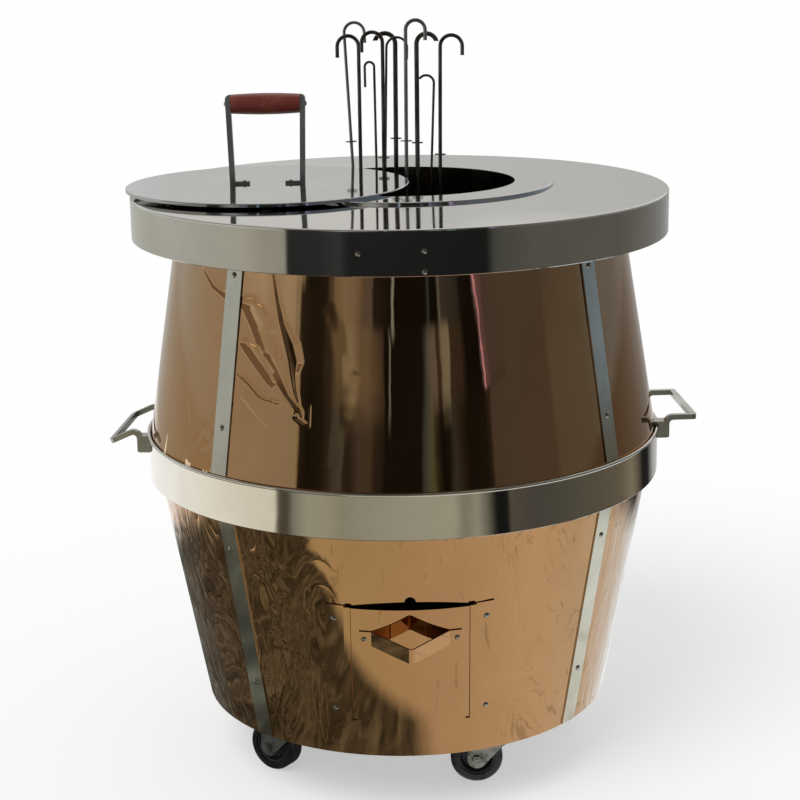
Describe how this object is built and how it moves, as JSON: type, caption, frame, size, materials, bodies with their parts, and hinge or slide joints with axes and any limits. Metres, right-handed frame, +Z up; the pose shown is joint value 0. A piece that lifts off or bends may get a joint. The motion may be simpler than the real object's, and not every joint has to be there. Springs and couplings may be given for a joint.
{
  "type": "clay tandoor oven",
  "caption": "Drum-shaped tandoor on swivel castors: clay fire pot in a clad barrel body with deck, loose lid, sliding draught door, carrying handles and hooked skewers.",
  "frame": {"origin": "on the floor under the cabinet's vertical axis", "axes": "+Z up; the draught door and its pull face -Y; the carrying handles stand out along -X and +X; the lid rests toward -X and the mouth is set toward +Y"},
  "size_m": [0.9087, 0.8136, 1.1382],
  "materials": {
    "stainless": "bright rolled stainless sheet",
    "brass_sheet": "mirror brass-coloured sheet, hand rolled and wavy",
    "zinc_steel": "zinc plated pressed steel",
    "dark_steel": "fire-darkened steel rod",
    "bright_steel": "plain drawn steel rod",
    "fired_clay": "coarse fired clay",
    "insulation": "mineral wool and ash packing",
    "slab": "cast refractory slab",
    "grip_wood": "red varnished turned wood",
    "hub": "dark cast hub",
    "rubber": "black solid rubber"
  },
  "bodies": {
    "cabinet": {"base_plate": "zinc_steel", "castor_plates": "zinc_steel", "castor_bolts": "zinc_steel", "hearth_slab": "slab", "insulation_fill": "insulation", "clay_pot": "fired_clay", "draught_duct": "zinc_steel", "lower_cladding": "brass_sheet", "upper_cladding": "brass_sheet", "belly_hoop": "zinc_steel", "belly_belt": "stainless", "lower_straps": "stainless", "upper_straps": "stainless", "strap_rivets": "stainless", "rim_skirt": "stainless", "skirt_rivets": "stainless", "top_deck": "stainless", "mouth_ring": "stainless", "mouth_throat": "stainless", "side_handle_left": "stainless", "side_handle_right": "stainless", "handle_rivets": "stainless", "door_guide_left": "brass_sheet", "door_guide_right": "brass_sheet", "guide_rivets": "stainless"},
    "lid": {"lid_plate": "stainless", "lid_legs": "stainless", "lid_grip": "grip_wood", "lid_screws": "stainless"},
    "door": {"draught_door": "brass_sheet", "door_pull_strap": "brass_sheet", "door_rivets": "stainless"},
    "skewer_01_body": {"skewer_01": "bright_steel"},
    "skewer_02_body": {"skewer_02": "dark_steel"},
    "skewer_03_body": {"skewer_03": "dark_steel"},
    "skewer_04_body": {"skewer_04": "dark_steel"},
    "skewer_05_body": {"skewer_05": "dark_steel"},
    "skewer_06_body": {"skewer_06": "dark_steel"},
    "skewer_07_body": {"skewer_07": "bright_steel"},
    "skewer_08_body": {"skewer_08": "dark_steel"},
    "skewer_09_body": {"skewer_09": "dark_steel"},
    "skewer_10_body": {"skewer_10": "dark_steel"},
    "castor_1": {"castor_fork_1": "zinc_steel", "castor_axle_1": "zinc_steel"},
    "wheel_1": {"wheel_hub_1": "hub", "tyre_1": "rubber"},
    "castor_2": {"castor_fork_2": "zinc_steel", "castor_axle_2": "zinc_steel"},
    "wheel_2": {"wheel_hub_2": "hub", "tyre_2": "rubber"},
    "castor_3": {"castor_fork_3": "zinc_steel", "castor_axle_3": "zinc_steel"},
    "wheel_3": {"wheel_hub_3": "hub", "tyre_3": "rubber"},
    "castor_4": {"castor_fork_4": "zinc_steel", "castor_axle_4": "zinc_steel"},
    "wheel_4": {"wheel_hub_4": "hub", "tyre_4": "rubber"}
  },
  "joints": [
    {"name": "lid_lift", "type": "slide", "parent": "cabinet", "child": "lid", "axis": [-0.8, 0, 0.6], "range_m": [0, 0.55]},
    {"name": "door_slide", "type": "slide", "parent": "cabinet", "child": "door", "axis": [0.0031, -0.1764, 0.9843], "range_m": [0, 0.095]},
    {"name": "skewer_01_lift", "type": "slide", "parent": "cabinet", "child": "skewer_01_body", "axis": [-0.047, 0.0698, 0.9965], "range_m": [0, 0.68]},
    {"name": "skewer_02_lift", "type": "slide", "parent": "cabinet", "child": "skewer_02_body", "axis": [0, 0.0698, 0.9976], "range_m": [0, 0.68]},
    {"name": "skewer_03_lift", "type": "slide", "parent": "cabinet", "child": "skewer_03_body", "axis": [-0.007, 0.0698, 0.9975], "range_m": [0, 0.68]},
    {"name": "skewer_04_lift", "type": "slide", "parent": "cabinet", "child": "skewer_04_body", "axis": [0.0035, 0.0698, 0.9976], "range_m": [0, 0.68]},
    {"name": "skewer_05_lift", "type": "slide", "parent": "cabinet", "child": "skewer_05_body", "axis": [0.007, 0.0698, 0.9975], "range_m": [0, 0.68]},
    {"name": "skewer_06_lift", "type": "slide", "parent": "cabinet", "child": "skewer_06_body", "axis": [0.0244, 0.0698, 0.9973], "range_m": [0, 0.68]},
    {"name": "skewer_07_lift", "type": "slide", "parent": "cabinet", "child": "skewer_07_body", "axis": [0.007, 0.0698, 0.9975], "range_m": [0, 0.68]},
    {"name": "skewer_08_lift", "type": "slide", "parent": "cabinet", "child": "skewer_08_body", "axis": [0.0035, 0.0698, 0.9976], "range_m": [0, 0.68]},
    {"name": "skewer_09_lift", "type": "slide", "parent": "cabinet", "child": "skewer_09_body", "axis": [0.04, 0.0698, 0.9968], "range_m": [0, 0.68]},
    {"name": "skewer_10_lift", "type": "slide", "parent": "cabinet", "child": "skewer_10_body", "axis": [0.0104, 0.0698, 0.9975], "range_m": [0, 0.68]},
    {"name": "castor_1_swivel", "type": "hinge", "parent": "cabinet", "child": "castor_1", "pos_m": [-0.17439, -0.14375, 0.09], "axis": [0, 0, 1], "continuous": true},
    {"name": "wheel_1_spin", "type": "hinge", "parent": "castor_1", "child": "wheel_1", "pos_m": [-0.20551, -0.12196, 0.04], "axis": [-0.5736, -0.8191, 0], "continuous": true},
    {"name": "castor_2_swivel", "type": "hinge", "parent": "cabinet", "child": "castor_2", "pos_m": [0.14375, -0.17439, 0.09], "axis": [0, 0, 1], "continuous": true},
    {"name": "wheel_2_spin", "type": "hinge", "parent": "castor_2", "child": "wheel_2", "pos_m": [0.10575, -0.17439, 0.04], "axis": [0, -1, 0], "continuous": true},
    {"name": "castor_3_swivel", "type": "hinge", "parent": "cabinet", "child": "castor_3", "pos_m": [0.17439, 0.14375, 0.09], "axis": [0, 0, 1], "continuous": true},
    {"name": "wheel_3_spin", "type": "hinge", "parent": "castor_3", "child": "wheel_3", "pos_m": [0.2073, 0.16275, 0.04], "axis": [-0.5, 0.866, 0], "continuous": true},
    {"name": "castor_4_swivel", "type": "hinge", "parent": "cabinet", "child": "castor_4", "pos_m": [-0.14375, 0.17439, 0.09], "axis": [0, 0, 1], "continuous": true},
    {"name": "wheel_4_spin", "type": "hinge", "parent": "castor_4", "child": "wheel_4", "pos_m": [-0.15675, 0.13868, 0.04], "axis": [0.9397, -0.342, 0], "continuous": true}
  ]
}
